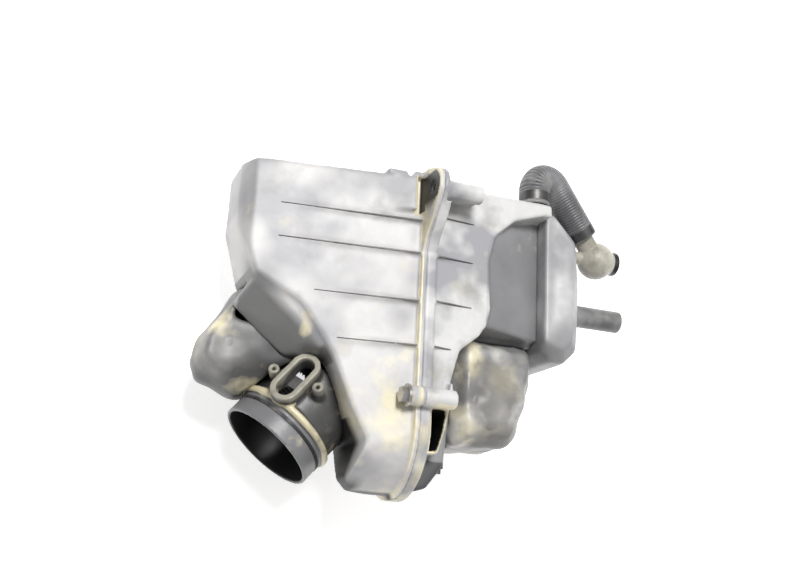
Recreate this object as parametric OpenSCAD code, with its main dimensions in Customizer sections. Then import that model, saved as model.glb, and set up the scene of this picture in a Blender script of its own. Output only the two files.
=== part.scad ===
// Engine air filter housing: a ribbed cap and case bolted round a panel element.
// X is the parting line's normal, with the cap at -X and the case at +X. Z is up.

/* [Housing] */
// Height of the ribbed face above the base
box_h = 140; // [128:1:170]
// Reach of the cap from the parting line
cap_w = 145; // [134:1:176]
// Reach of the case's main box from the parting line
case_w = 117; // [104:1:140]
// Reach of both halves behind the origin
back_l = 124; // [116:1:150]
// Reach of both halves in front of the origin
front_l = 126; // [118:1:152]
// Wall thickness of the mouldings
wall = 2.6; // [2:0.1:3.2]
// Gap between the base and the underside of the walls
base_gap = 10; // [8:1:14]
// Fall of the cap's ribbed face away from the parting line, in degrees
cap_fall = 6; // [3:1:8]
// Fall of the case's ribbed face away from the parting line, in degrees
case_fall = 2.5; // [1:0.5:4]

/* [Parting line] */
// Thickness of the cap's flange
cap_flange_t = 4; // [3:0.5:6]
// Thickness of the case's flange
case_flange_t = 9; // [8:0.5:12]
// How far both flanges stand out from the walls
flange_out = 4; // [3:0.5:6]
// How far the flanges reach in from the walls
flange_in = 8; // [7:0.5:11]
// Radius of the upper corner at the front end
front_r = 50; // [36:1:52]
// Lean of the outline below the front corner, in degrees
chin_lean = 40; // [32:1:44]
// Radius of the lower corner at the front end
chin_r = 40; // [30:1:50]
// Rise of the cap's nose away from the parting line, in degrees
nose_rise = 21; // [14:1:23]
// Radius of the two corners at the back end
corner_r = 12; // [8:1:18]
// Rise of the cap's underside away from the parting line, in degrees
cap_rise = 24; // [16:1:26]

/* [Cap plan] */
// Where the cap's left wall starts to turn in
turn_y = 70; // [60:1:80]
// How far the left wall turns in
turn_in = 14; // [8:1:20]
// Where the left wall ends and the shoulder starts
shoulder_y = 28; // [22:1:36]
// How much further back the case's back wall reaches than the cap's far corner
back_skew = 9; // [4:1:12]
// Reach of the inner end of the shoulder
shoulder_w = 94; // [84:1:100]
// Reach of the cap at its narrow neck
neck_w = 38; // [34:1:46]
// Where the neck lies in front of the origin
neck_y = 90; // [84:1:96]

/* [Case plan] */
// Reach of the case's raised face
face_w = 57; // [50:1:66]
// Slope of the scooped panel beside the raised face, in degrees
scoop_fall = 23; // [16:1:28]
// Level of the valley floor beside the front lobe
valley_z = 100; // [90:1:108]
// Reach of the front of the case's main box
waist_w = 44; // [42:1:50]
// Depth of the rear chamber behind the main box
rear_w = 35; // [30:1:50]
// Height of the rear chamber's top
rear_z = 124; // [112:1:132]
// Height of the front lobe's top
lobe_z = 113; // [104:1:120]

/* [Outlet] */
// Outside diameter of the outlet tube
outlet_d = 80; // [70:1:88]
// Height of the outlet's centre at its mouth
outlet_z = 70; // [62:1:78]
// Direction of the outlet in plan, in degrees from -X towards -Y
outlet_turn = 50; // [46:1:56]
// Upward tilt of the outlet, in degrees
outlet_tilt = 3; // [0:1:5]
// Length of the hose collar
collar_l = 19; // [16:1:24]
// How far the sensor port leans from the top of the outlet, in degrees
port_lean = 30; // [15:1:35]
// Length of the sensor port
port_l = 46; // [40:1:52]
// Width of the sensor port
port_w = 23; // [20:1:26]
// Distance between the sensor port's two screws
port_pitch = 37; // [34:1:42]
// Diameter of the sensor port's screw holes
port_hole_d = 3.4; // [2.8:0.1:4.2]

/* [Fastenings] */
// Thread diameter of the two long screws
screw_d = 6; // [5:0.5:8]
// Length of the screws under the head
screw_l = 37; // [34:1:44]
// Outside diameter of the screw bosses
boss_d = 15; // [14:0.5:18]
// Diameter of the screws' washer faces
washer_d = 17; // [15:0.5:18]
// Bore of the mounting sleeves
mount_bore = 6.6; // [6:0.1:8.4]
// Length of the mounting sleeves
mount_l = 14; // [12:1:18]

/* [Hoses] */
// Outside diameter of the corrugated hose
hose_d = 24; // [20:1:25]
// Bend radius of the corrugated hose's middle line
hose_bend = 14; // [13.5:0.5:18]
// Height of the hose where it leaves the back wall
hose_z = 122; // [112:1:123]
// Fall of the hose from its bend to the tee, in degrees
hose_fall = 16; // [12:1:18]
// Outside diameter of the breather nipple
nipple_d = 19; // [15:0.5:20]
// Length of the breather nipple
nipple_l = 50; // [40:1:60]

/* [Filter] */
// Depth of the pleats
pleat_h = 22; // [16:1:24]
// Distance from one pleat to the next
pleat_pitch = 7; // [6:0.5:10]
// Thickness of the filter paper
paper_t = 0.8; // [0.6:0.1:1.2]

/* [Hidden] */

$fn = 64;
eps = 0.01;
far = 400;              // larger than the whole housing
fit_gap = 0.3;          // between pieces that are laid together
run_gap = 0.06;         // radial, between a screw and its thread
plastic = [0.36, 0.36, 0.38];
light_plastic = [0.62, 0.61, 0.63];

// Places of the two screws
screw_lower_y = -56;
screw_lower_z = box_h + 8;
screw_lower_x = -12;
screw_upper_y = back_l - 16;
screw_upper_z = box_h + 19;
bush_r = screw_d / 2 + 1.6;
insert_r = screw_d / 2 + 1.5;
pocket_w = 6;           // of the gap beside the upper ear, for the screw's head
boss_reach = 26;        // of the case's bosses from the parting line
keel_w = 26;            // half the width of the shelf under the parting line
keel_y = -52;
keel_l = 132;

// Outlet tube
outlet_r = outlet_d / 2;
outlet_wall = 2.8;
outlet_l = 56;
outlet_end = 8;         // how far the tube passes through the cap's wall
outlet_root = [-62, -52, outlet_z - 3];
bead_l = 7;
bead_h = 3;
port_at = 41;           // from the mouth to the middle of the sensor port
port_h = 12;            // from the tube's surface to the port's face
port_boss_r = port_hole_d / 2 + 2.7;

// Case chambers
rear_x = case_w;
rear_back = back_l - 1;
rear_front = -8;
lobe_front = -84;
lobe_back = 5;
lobe_base = 34;

// Corrugated hose: a straight leg out of the back wall, a bend and a run to the tee
hose_x = case_w - 11;
hose_turn = 136;
hose_leg = 14;
hose_run = 52;
bend_step = 0.2;        // how much slimmer the bend is, in radius
tee_gap = 24;           // from the end of the hose to the middle of the tee
tee_flat = [
    hose_bend * (1 - cos(hose_turn)) + (hose_run + tee_gap) * sin(hose_turn),
    hose_leg + hose_bend * sin(hose_turn) + (hose_run + tee_gap) * cos(hose_turn)
];
tee_pos = [
    hose_x + tee_flat[0] * cos(hose_fall), back_l + tee_flat[1],
    hose_z - tee_flat[0] * sin(hose_fall)
];
tee_r = 16.5;
tee_end = 19;           // from the tee's middle to the end of its branch
tee_branch_angle = 50;  // where the branch leaves the ball
tee_leg_r = 5.5;        // of the tee's leg into the rear chamber
nipple_x = rear_x + rear_w + 2;
nipple_y = 41;
nipple_lip = 3;
nipple_z = 96;

// Scooped panel beside the raised face
scoop_z = box_h - 5;

// Sloped edge between the cap's ribbed face and its left wall
edge_w = 8;
edge_h = 13;
edge_fall = 66;

// Mounting ears on the hidden sides of the case
ears = [[20, back_l + 17], [rear_x + rear_w + 14, 22]];
mount_r = 12;
mount_t = 8;
mount_z = 3;
ear_t = 4;              // thickness of the ear round the upper screw
grommet_r = 8.5;

// Filter element
frame_t = 2.4;
frame_x0 = 4 - pleat_h;
nose_in = -frame_x0 * tan(nose_rise) + wall / cos(nose_rise);
element_in = max(flange_in + 1.6, nose_in + fit_gap);
media_in = element_in + frame_t + 0.2;
element_x1 = 6;         // the pleats' end on the case side
element_x0 = element_x1 - pleat_h;
seal_t = 5.6;
underside_x = 20;       // where the cap's underside starts to rise

// Where the straight part of the front outline begins, and the middle of the lower corner
chin_top = [
    -front_l + front_r - front_r * cos(chin_lean), box_h - front_r - front_r * sin(chin_lean)
];
chin_low_z = base_gap + chin_r * (1 - sin(chin_lean));
chin_y = chin_top[0] + (chin_top[1] - chin_low_z) * tan(chin_lean) + chin_r * cos(chin_lean);

// ---------- outlines

function arc(c, r, a0, a1, steps = 6) =
    [for (i = [0 : steps]) let (a = a0 + (a1 - a0) * i / steps)
        [c[0] + r * cos(a), c[1] + r * sin(a)]];

// Outline of both halves across the parting line, in Y and Z, grown by g
function seam_points(g) = let (r = max(corner_r + g, 0.5)) concat(
    arc([back_l + g - r, base_gap - g + r], r, -90, 0),
    arc([back_l + g - r, box_h + g - r], r, 0, 90),
    arc([-front_l + front_r, box_h - front_r], front_r + g, 90, 180 + chin_lean, 14),
    arc([chin_y, base_gap + chin_r], chin_r + g, 180 + chin_lean, 270));

cap_plan = [
    [1, back_l], [-cap_w, back_l - back_skew / 2], [-cap_w, turn_y],
    [-cap_w + turn_in, shoulder_y], [-shoulder_w, shoulder_y - 20],
    [-neck_w - 30, -28], [-neck_w - 13, -66], [-neck_w, -neck_y],
    [-neck_w - 8, -front_l + 10], [-neck_w - 2, -front_l], [1, -front_l]
];

case_plan = [
    [-1, back_l], [40, back_l + back_skew / 2], [case_w, back_l], [case_w, lobe_back],
    [waist_w + 10, lobe_back], [waist_w, -12], [waist_w, -62], [-1, -62]
];

// Thin part of the case behind its flange at the front end
lip_plan = [
    [-1, -61], [case_flange_t + wall, -61], [case_flange_t + wall, -front_l], [-1, -front_l]
];

front_plan = [
    [-1, -61], [waist_w, -61], [waist_w - 4, -front_l + 26], [26, -front_l + 7], [-1, -front_l]
];

scoop_plan = [
    [case_w + 1, back_l - 12], [case_w - 8, back_l - 12], [face_w + 24, back_l - 22],
    [face_w + 6, back_l - 38], [face_w, back_l - 62], [face_w + 3, 23], [face_w - 1, 7],
    [case_w + 1, 7]
];

valley_plan = [
    [case_w + 1, 8], [face_w - 1, 8], [face_w - 6, 0], [34, -14], [27, -40], [27, -63],
    [case_w + 1, -63]
];

// Middle and top outlines of the side chamber
chamber_plan = [
    [-cap_w + 16, shoulder_y + 2], [-cap_w, 4], [-cap_w - 15, -20], [-cap_w - 18, -34],
    [-cap_w - 12, -48], [-cap_w + 26, -62], [-78, -62], [-50, 10]
];
chamber_top = [
    [-cap_w + 18, shoulder_y], [-cap_w + 4, 2], [-cap_w - 10, -18], [-cap_w - 12, -32],
    [-cap_w - 6, -38], [-cap_w + 26, -34], [-84, -30], [-58, 10]
];

lobe_plan = [
    [waist_w, lobe_back], [waist_w + 2, lobe_front], [waist_w + 54, lobe_front + 3],
    [waist_w + 65, -50], [waist_w + 73, -14], [waist_w + 70, lobe_back]
];

// ---------- helpers

module prism(points, z0, z1, g = 0) {
    translate([0, 0, z0]) linear_extrude(z1 - z0) offset(delta = -g) polygon(points);
}

// A Y and Z outline extruded along X from x0 to x1
module across(x0, x1) {
    translate([x0, 0, 0]) rotate([90, 0, 90]) linear_extrude(x1 - x0) children();
}

module seam_slab(x0, x1, g) {
    across(x0, x1) polygon(seam_points(g));
}

module seam_ring(x0, x1, g_out, g_in) {
    across(x0, x1) difference() {
        polygon(seam_points(g_out));
        polygon(seam_points(g_in));
    }
}

// A rod along X
module rod(x0, x1, y, z, r) {
    translate([x0, y, z]) rotate([0, 90, 0]) cylinder(h = x1 - x0, r = r);
}

// Everything below a plane that falls away from the line x = x0, z = z0
module below(x0, z0, angle) {
    translate([x0, 0, z0]) rotate([0, angle, 0]) translate([-far, -far, -far])
        cube([2 * far, 2 * far, far]);
}

module upper_half() {
    translate([-far, -far, 0]) cube([2 * far, 2 * far, far]);
}

// The outlet's own frame: its axis along Z, its mouth at z = outlet_l
module at_outlet() {
    translate(outlet_root) rotate([0, 0, outlet_turn]) rotate([0, -90 + outlet_tilt, 0])
        rotate([0, 0, 180]) children();
}

// The port's own frame: Z out of the port, X along the outlet
module at_port() {
    at_outlet() translate([0, 0, outlet_l - port_at]) rotate([0, 0, port_lean])
        rotate([0, -90, 0]) children();
}

module stadium(l, w, h) {
    linear_extrude(h) {
        square([l - w, w], center = true);
        for (s = [-1, 1]) translate([s * (l - w) / 2, 0]) circle(d = w);
    }
}

// ---------- cap

module cap_form(g) {
    intersection() {
        prism(cap_plan, base_gap + g, box_h + 1, g);
        seam_slab(-far, 2, -g);
        below(0, box_h - g, -cap_fall);
        translate([-underside_x, 0, base_gap + g]) rotate([0, cap_rise, 0]) upper_half();
        translate([0, chin_top[0], chin_top[1]]) rotate([chin_lean - 90, 0, 0])
            rotate([0, nose_rise, 0]) translate([0, 0, g]) upper_half();
        below(-cap_w + edge_w, box_h - edge_h - g / cos(edge_fall), -edge_fall);
    }
}

// The whole cap before it is opened, shrunk by g
module cap_body(g) {
    difference() {
        union() {
            cap_form(g);
            ramp_form(g);
            hump_form(g);
        }
        pocket(g);
    }
}

// Ramp from the shoulder's top edge down to the side chamber
module ramp_form(g) {
    top = box_h - shoulder_w * tan(cap_fall) - 3;
    low = box_h - 42;
    hull() {
        translate([0, 0, low - g]) linear_extrude(2) offset(delta = -g) polygon([
            [-cap_w + turn_in + 6, shoulder_y + 8], [-cap_w + 4, 6], [-cap_w + 28, -14],
            [-shoulder_w - 4, -28], [-shoulder_w + 26, -30], [-shoulder_w + 12, shoulder_y]
        ]);
        translate([0, 0, top - g - 6]) linear_extrude(4) offset(delta = -g) polygon([
            [-cap_w + turn_in + 6, shoulder_y + 2], [-shoulder_w - 6, shoulder_y - 22],
            [-shoulder_w + 20, -24], [-shoulder_w + 12, shoulder_y + 2]
        ]);
    }
}

module cap_ribs() {
    for (rib = [[-116, back_l - 39], [-116, back_l - 66], [-86, 19], [-66, -16]])
        translate([0, rib[1] + 0.8, 0]) rotate([90, 0, 0]) linear_extrude(1.6)
            polygon([
                [rib[0] - 8, box_h - 1 + rib[0] * tan(cap_fall)],
                [rib[0], box_h + 0.3 + rib[0] * tan(cap_fall)],
                [-cap_flange_t - 22, box_h + 1], [-cap_flange_t, box_h + 3],
                [-cap_flange_t, box_h - 3]
            ]);
}

// Ear of the flange round the upper screw, in Y and Z
module ear_outline() {
    polygon(concat(
        [[screw_upper_y + 16 + flange_out, box_h - 20], [screw_upper_y + 16 + flange_out, box_h + 8]],
        arc([screw_upper_y, screw_upper_z], 16, 10, 130, 8),
        [[screw_upper_y - 26, box_h + 20], [screw_upper_y - 38, box_h + 9],
         [screw_upper_y - 52, box_h + 2], [screw_upper_y - 52, box_h - 20]]));
}

// Hump that runs up to the ear, with the pocket beside the flange
module hump_form(g) {
    hull() {
        translate([-46 + g, screw_upper_y - 18 + g, box_h - 20]) cube([40, 32 - 2 * g, 13 - g]);
        translate([-cap_flange_t - 4, screw_upper_y - 14 + g, box_h - 10])
            cube([4, 28 - 2 * g, 14 - g]);
    }
}

module pocket(g) {
    translate([-cap_flange_t - pocket_w - g, screw_upper_y - 17 - g, box_h - 5 - g])
        cube([pocket_w + g, 31 + 2 * g, 60]);
}

module cap_shell() {
    color(light_plastic) difference() {
        union() {
            difference() {
                cap_body(0);
                cap_body(wall);
                across(-eps, 4) square(2 * far, center = true);
            }
            seam_ring(-cap_flange_t, 0, flange_out, -flange_in);
            difference() {
                across(-cap_flange_t, 0) ear_outline();
                seam_slab(-far, far, 0);
            }
            cap_ribs();
            rod(screw_lower_x, 0, screw_lower_y, screw_lower_z, boss_d / 2);
            translate([screw_lower_x, screw_lower_y - 4, box_h - 8])
                cube([-screw_lower_x, 8, 10]);
            cap_tongues();
            // Low lugs on the back edge
            translate([-34, back_l - 2, box_h - 10]) cube([17, 5, 9]);
            translate([-12, back_l - 2, box_h - 10]) cube([8, 5, 11]);
        }
        cap_opening();
        rod(screw_lower_x - 1, 1, screw_lower_y, screw_lower_z, bush_r);
        rod(-cap_flange_t - 1, 1, screw_upper_y, screw_upper_z, bush_r);
        at_outlet() translate([0, 0, -30]) cylinder(h = 30 + outlet_l, r = outlet_r);
        at_outlet() translate([0, 0, outlet_l - collar_l - bead_l - fit_gap])
            cylinder(h = bead_l + collar_l, r = outlet_r + bead_h + fit_gap);
        port_room(fit_gap);
    }
}

// Clear way through the cap's flange for the element
module cap_opening() {
    seam_slab(-cap_flange_t - 1, 1, -flange_in);
}

tongue_w = 16;
tongue_ys = [-40, 60];

module cap_tongues() {
    for (y = tongue_ys)
        translate([-cap_flange_t, y - tongue_w / 2, base_gap - flange_out])
            cube([cap_flange_t + case_flange_t - 1, tongue_w, 2.4]);
}

module side_chamber() {
    color(plastic) difference() {
        chamber_form(0);
        chamber_form(wall);
        // Strap slot in the neck above the lobe
        translate([-cap_w + 16, 1, box_h - 50]) rotate([0, 0, -10])
            cube([15, 8, 30], center = true);
    }
}

module chamber_form(g) {
    top = box_h - 42;
    difference() {
        hull() {
            prism(chamber_plan, top - 42, top - 30, g);
            translate([0, 0, top - 4]) linear_extrude(4 - g) offset(delta = -g)
                polygon(chamber_top);
            translate([0, 0, top - 62 + g]) linear_extrude(8) offset(delta = -10 - g)
                polygon(chamber_plan);
        }
        prism(cap_plan, -1, far, -g);
        at_outlet() translate([0, 0, -40])
            cylinder(h = 140, r = outlet_r + bead_h + fit_gap + g);
        port_room(fit_gap + g);
    }
}

// Room round the sensor port and its two bosses
module port_room(g) {
    at_port() translate([0, 0, 20]) stadium(port_l + 2 * g, port_w + 2 * g, outlet_r + port_h);
    for (s = [-1, 1]) at_port() translate([-s * 4, s * port_pitch / 2, 18])
        cylinder(h = outlet_r + port_h, r = port_boss_r + g);
}

// ---------- outlet

module outlet_tube() {
    color(plastic) difference() {
        union() {
            at_outlet() translate([0, 0, -outlet_end]) cylinder(h = outlet_l + outlet_end, r = outlet_r);
            // Bead behind the collar
            at_outlet() translate([0, 0, outlet_l - collar_l - bead_l])
                rotate_extrude() polygon([
                    [outlet_r - 1, 0], [outlet_r, 0], [outlet_r + bead_h, 2],
                    [outlet_r + bead_h, bead_l - 2], [outlet_r, bead_l], [outlet_r - 1, bead_l]
                ]);
            at_port() translate([0, 0, 20]) stadium(port_l, port_w, outlet_r + port_h - 20);
            for (s = [-1, 1]) at_port() translate([-s * 4, s * port_pitch / 2, 18])
                cylinder(h = outlet_r + port_h - 20, r = port_boss_r);
        }
        at_outlet() translate([0, 0, -outlet_end - 1])
            cylinder(h = outlet_l + outlet_end + 2, r = outlet_r - outlet_wall);
        // Groove round the collar
        at_outlet() translate([0, 0, outlet_l - collar_l + 3]) difference() {
            cylinder(h = 2.4, r = outlet_r + 1);
            translate([0, 0, -1]) cylinder(h = 5, r = outlet_r - 1);
        }
        at_port() translate([0, 0, 10]) stadium(port_l - 9, port_w - 9, outlet_r + port_h);
        for (s = [-1, 1]) at_port() translate([-s * 4, s * port_pitch / 2, outlet_r - 2])
            cylinder(h = 20, r = port_hole_d / 2);
    }
}

module outlet_seal() {
    color("black") at_outlet() translate([0, 0, outlet_l - collar_l + 3]) difference() {
        cylinder(h = 2.4, r = outlet_r + 0.4);
        translate([0, 0, -1]) cylinder(h = 5, r = outlet_r - 1);
    }
}

module flow_straightener() {
    ring_r = outlet_r - outlet_wall;
    pitch = 8;
    count = 4;
    color("dimgray") at_outlet() translate([0, 0, 8]) {
        difference() {
            cylinder(h = 10, r = ring_r);
            translate([0, 0, -1]) cylinder(h = 12, r = ring_r - 1.6);
        }
        intersection() {
            cylinder(h = 10, r = ring_r - 1);
            for (a = [0, 90], i = [-count : count]) rotate([0, 0, a])
                translate([i * pitch - 0.4, -far / 2, 0]) cube([0.8, far, 10]);
        }
    }
}

// ---------- case

module case_form(g) {
    difference() {
        intersection() {
            union() {
                prism(case_plan, base_gap + g, box_h + 1, g);
                prism(front_plan, base_gap + g, valley_z - g, g);
                prism(lip_plan, base_gap + g, box_h, g);
            }
            seam_slab(-2, far, -g);
            below(0, box_h - g, case_fall);
        }
        // Scooped panel
        difference() {
            prism(scoop_plan, base_gap, far, -g);
            below(face_w, scoop_z - g, scoop_fall);
        }
        prism(valley_plan, valley_z - g, far, -g);
        // Window under the lower screw
        translate([case_flange_t + wall - g, -91 - g, 62 - g])
            cube([15 + 2 * g, 28 + 2 * g, far]);
    }
}

module case_ribs() {
    for (y = [back_l - 33, back_l - 66, 21, -15])
        translate([0, y + 0.8, 0]) rotate([90, 0, 0]) linear_extrude(1.6)
            polygon([
                [case_flange_t - 1, box_h - 4], [case_flange_t - 1, box_h + 3],
                [case_flange_t + (y < 0 ? 16 : 33), box_h - 2.4], [case_flange_t, box_h - 4]
            ]);
}

module case_boss(y, z, x0) {
    rod(x0, boss_reach, y, z, boss_d / 2);
    translate([x0, y - 4, box_h - 6]) cube([boss_reach - x0, 8, z - box_h + 6]);
}

module case_shell() {
    color(light_plastic) difference() {
        union() {
            difference() {
                case_form(0);
                case_form(wall);
                across(-4, eps) square(2 * far, center = true);
            }
            seam_ring(0, case_flange_t, flange_out, -flange_in);
            difference() {
                union() {
                    across(0, ear_t) ear_outline();
                    intersection() {
                        across(0, case_flange_t) ear_outline();
                        translate([-1, 0, 0]) cube([far, screw_upper_y - 13, far]);
                    }
                }
                seam_slab(-far, far, 0);
            }
            case_ribs();
            case_boss(screw_lower_y, screw_lower_z, 0);
            rod(0, boss_reach + 12, screw_upper_y, screw_upper_z, boss_d / 2);
            rod(ear_t, ear_t + 4, screw_upper_y, screw_upper_z, boss_d / 2 + 1.5);
            translate([0, screw_upper_y - 4, box_h - 6])
                cube([boss_reach + 12, 8, screw_upper_z - box_h + 6]);
            // Fin behind the lower boss
            translate([boss_reach - 3, screw_lower_y + 2, box_h - 8]) cube([2, 12, 14]);
            keel();
            case_ears();
            window_frame();
            // Spigot for the corrugated hose
            translate([hose_x, back_l - 2, hose_z]) rotate([-90, 0, 0])
                cylinder(h = 14, r = hose_d / 2 - 3);
            translate([case_w - 16, back_l - 24, 0]) cylinder(h = base_gap + 1, r = 6);
        }
        // Seat for the element's seal
        seam_slab(-1, seal_t + 0.4, -1.6);
        seam_slab(-1, case_flange_t + 1, -flange_in);
        rod(-1, boss_reach + 1, screw_lower_y, screw_lower_z, insert_r);
        rod(-1, boss_reach + 13, screw_upper_y, screw_upper_z, insert_r);
        for (y = tongue_ys)
            translate([-1, y - tongue_w / 2 - fit_gap, base_gap - flange_out - fit_gap])
                cube([case_flange_t + 2, tongue_w + 2 * fit_gap, 2.4 + 2 * fit_gap]);
        // Ways into the chambers, the inlet and the hose
        translate([case_w - wall - 1, 10, 40]) cube([wall + 3, 90, 50]);
        translate([waist_w + 24, lobe_back - 1, 60]) cube([30, wall + 3, 30]);
        inlet_hole();
        translate([hose_x, back_l - 6, hose_z]) rotate([-90, 0, 0])
            cylinder(h = 30, r = hose_d / 2 - 5);
        grommet_hole(ears[0]);
    }
}

// Hole for a grommet's neck, and room for its upper lip
module grommet_hole(p) {
    translate([p[0], p[1], -1]) cylinder(h = 30, r = grommet_r - 2);
    translate([p[0], p[1], mount_z + mount_t]) cylinder(h = 30, r = grommet_r + fit_gap);
}

// Rib and ledge round the window under the lower screw
module window_frame() {
    rib_x = 24.6;
    rib_t = 2.4;
    ledge_y = -94;
    across(rib_x, rib_x + rib_t) polygon([
        [-60, 60], [-60, box_h - 2], [-76, box_h - 8], [ledge_y, box_h - 21], [ledge_y, 60]
    ]);
    translate([case_flange_t - 1, ledge_y, 60])
        cube([rib_x - case_flange_t + 2, rib_t, box_h - 81]);
}

// Shelf under the parting line, which the housing rests on
module keel() {
    translate([-keel_w, keel_y, 0]) cube([2 * keel_w, keel_l, base_gap - flange_out - 1]);
    translate([0, keel_y, 0]) cube([case_flange_t, keel_l, base_gap - flange_out + 1]);
}

module case_ears() {
    p = ears[0];
    hull() {
        translate([p[0], p[1], mount_z]) cylinder(h = mount_t, r = mount_r);
        translate([p[0] - 14, back_l - 4, mount_z]) cube([28, 2, mount_t + 6]);
    }
}

module inlet_form(g, y0, y1) {
    translate([58, y1, 52]) rotate([90, 0, 0]) linear_extrude(y1 - y0) offset(delta = g)
        hull() {
            translate([-18, 0]) circle(r = 22, $fn = 48);
            translate([18, 0]) circle(r = 22, $fn = 48);
        }
}

module inlet_hole() {
    inlet_form(-wall, back_l - wall - 1, back_l + 2);
}

module inlet_duct() {
    color(plastic) difference() {
        union() {
            inlet_form(0, back_l, back_l + 20);
            inlet_form(3, back_l, back_l + 4);
        }
        inlet_form(-wall, back_l - 1, back_l + 21);
    }
}

module rear_form(g) {
    hull() {
        prism([
            [rear_x + g, rear_front + 10 + g], [rear_x + 10, rear_front + g],
            [rear_x + rear_w - 12, rear_front + g], [rear_x + rear_w - g, rear_front + 12],
            [rear_x + rear_w + 3 - g, 60], [rear_x + rear_w - g, rear_back - 22],
            [rear_x + rear_w - 22, rear_back - g], [rear_x + g, rear_back - g]
        ], 24 + g, rear_z - 10);
        translate([0, 0, rear_z - 10]) linear_extrude(10 - g) polygon([
            [rear_x + g, rear_front + 16], [rear_x + 14, rear_front + 10],
            [rear_x + rear_w - 18, rear_front + 10], [rear_x + rear_w - 10, rear_front + 18],
            [rear_x + rear_w - 8, 60], [rear_x + rear_w - 10, rear_back - 26],
            [rear_x + rear_w - 24, rear_back - 9], [rear_x + g, rear_back - 5]
        ]);
    }
}

module rear_chamber() {
    color([0.5, 0.5, 0.52]) difference() {
        union() {
            rear_form(0);
            // Ear for the second mounting
            hull() {
                translate([ears[1][0], ears[1][1], mount_z]) cylinder(h = mount_t, r = mount_r);
                translate([rear_x + rear_w - 8, ears[1][1] - 14, 24]) cube([2, 28, 8]);
            }
            // Socket for the tee
            translate([rear_x + rear_w - 4, tee_pos[1], tee_pos[2]]) rotate([0, 90, 0])
                cylinder(h = 10, r = tee_leg_r + 2.5);
        }
        rear_form(wall);
        translate([rear_x - 1, 10, 40]) cube([wall + 2, 90, 50]);
        translate([rear_x + rear_w - 10, tee_pos[1], tee_pos[2]]) rotate([0, 90, 0])
            cylinder(h = 40, r = tee_leg_r);
        translate([rear_x + rear_w - 10, nipple_y, nipple_z]) rotate([0, 90, 0])
            cylinder(h = 30, r = nipple_d / 2 - 2);
        // Seat for the nipple's flange
        translate([nipple_x, nipple_y, nipple_z]) rotate([0, 90, 0])
            cylinder(h = 10, r = nipple_d / 2 + nipple_lip + fit_gap);
        grommet_hole(ears[1]);
    }
}

module lobe_form(g) {
    hull() {
        prism(lobe_plan, lobe_base + 14, lobe_z - 14, g);
        translate([0, 0, lobe_z - 8]) linear_extrude(8 - g) offset(delta = -8 - g)
            polygon(lobe_plan);
        translate([0, 0, lobe_base + g]) linear_extrude(8) offset(delta = -8 - g)
            polygon(lobe_plan);
    }
}

module front_lobe() {
    color([0.58, 0.56, 0.54]) difference() {
        union() {
            lobe_form(0);
            translate([waist_w + 36, -50, 0]) cylinder(h = lobe_base + 8, r = 6);
        }
        lobe_form(wall);
        translate([waist_w + 24, lobe_back - 10, 60]) cube([30, 12, 30]);
        prism(case_plan, base_gap, far);
        prism(front_plan, base_gap, far);
    }
}

module breather_nipple() {
    color("dimgray") translate([nipple_x, nipple_y, nipple_z]) rotate([0, 90, 0]) difference() {
        union() {
            cylinder(h = nipple_l, r = nipple_d / 2);
            cylinder(h = 3, r = nipple_d / 2 + nipple_lip);
        }
        translate([0, 0, -1]) cylinder(h = nipple_l + 2, r = nipple_d / 2 - 2);
    }
}

// ---------- corrugated hose

// The hose's own frame: it lies in X and Y and leaves the back wall along Y
module at_hose() {
    translate([hose_x, back_l, hose_z]) rotate([0, hose_fall, 0]) children();
}

// The end of the hose's run, Z pointing out of it
module at_hose_end() {
    at_hose() translate([hose_bend, hose_leg, 0]) rotate([0, 0, 180 - hose_turn])
        translate([hose_bend, -hose_run, 0]) rotate([90, 0, 0]) children();
}

// The hose with both legs, each reaching a little over the slimmer bend
module hose_solid(r, over) {
    reach = 1;
    at_hose() {
        translate([0, -over, 0]) rotate([-90, 0, 0]) cylinder(h = hose_leg + over + reach, r = r);
        translate([hose_bend, hose_leg, 0]) rotate([0, 0, 180 - hose_turn])
            rotate_extrude(angle = hose_turn) translate([hose_bend, 0]) circle(r = r - bend_step);
    }
    at_hose_end() translate([0, 0, -hose_run - reach])
        cylinder(h = hose_run + reach + over, r = r);
}

module corrugated_hose() {
    color([0.3, 0.3, 0.31]) difference() {
        hose_solid(hose_d / 2, 0);
        hose_solid(hose_d / 2 - 3, 1);
    }
}

// Open tee on the end of the hose, turned about X through its middle
module hose_tee() {
    leg = tee_pos[0] - rear_x - rear_w + 4;
    color([0.86, 0.82, 0.7]) difference() {
        union() {
            translate(tee_pos) rotate([0, 90, 0]) rotate_extrude() polygon(concat(
                [[0, -leg], [tee_leg_r, -leg], [tee_leg_r, -tee_r]],
                arc([0, 0], tee_r, -60, tee_branch_angle, 8),
                [[tee_r * cos(tee_branch_angle), tee_end], [0, tee_end]]));
            at_hose_end() translate([0, 0, -9]) cylinder(h = tee_gap + 2, r = hose_d / 2 - 3);
        }
        translate([tee_pos[0] - 2, tee_pos[1], tee_pos[2]]) rotate([0, 90, 0])
            cylinder(h = 22, r = 7);
        translate([tee_pos[0] - leg - 1, tee_pos[1], tee_pos[2]]) rotate([0, 90, 0])
            cylinder(h = leg, r = tee_leg_r - 2);
        at_hose_end() translate([0, 0, -10]) cylinder(h = tee_gap + 6, r = hose_d / 2 - 5);
    }
}

module hose_clips() {
    color("gray") {
        translate([hose_x, back_l + 3, hose_z]) rotate([-90, 0, 0]) clip();
        at_hose_end() translate([0, 0, -10]) clip();
    }
}

module clip() {
    difference() {
        cylinder(h = 8, r = hose_d / 2 + 1.4);
        translate([0, 0, -1]) cylinder(h = 10, r = hose_d / 2);
    }
}

// ---------- fastenings

module screw_inserts() {
    color("goldenrod") {
        insert(screw_lower_y, screw_lower_z, ear_t, boss_reach);
        insert(screw_upper_y, screw_upper_z, ear_t, boss_reach + 12);
    }
}

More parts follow.
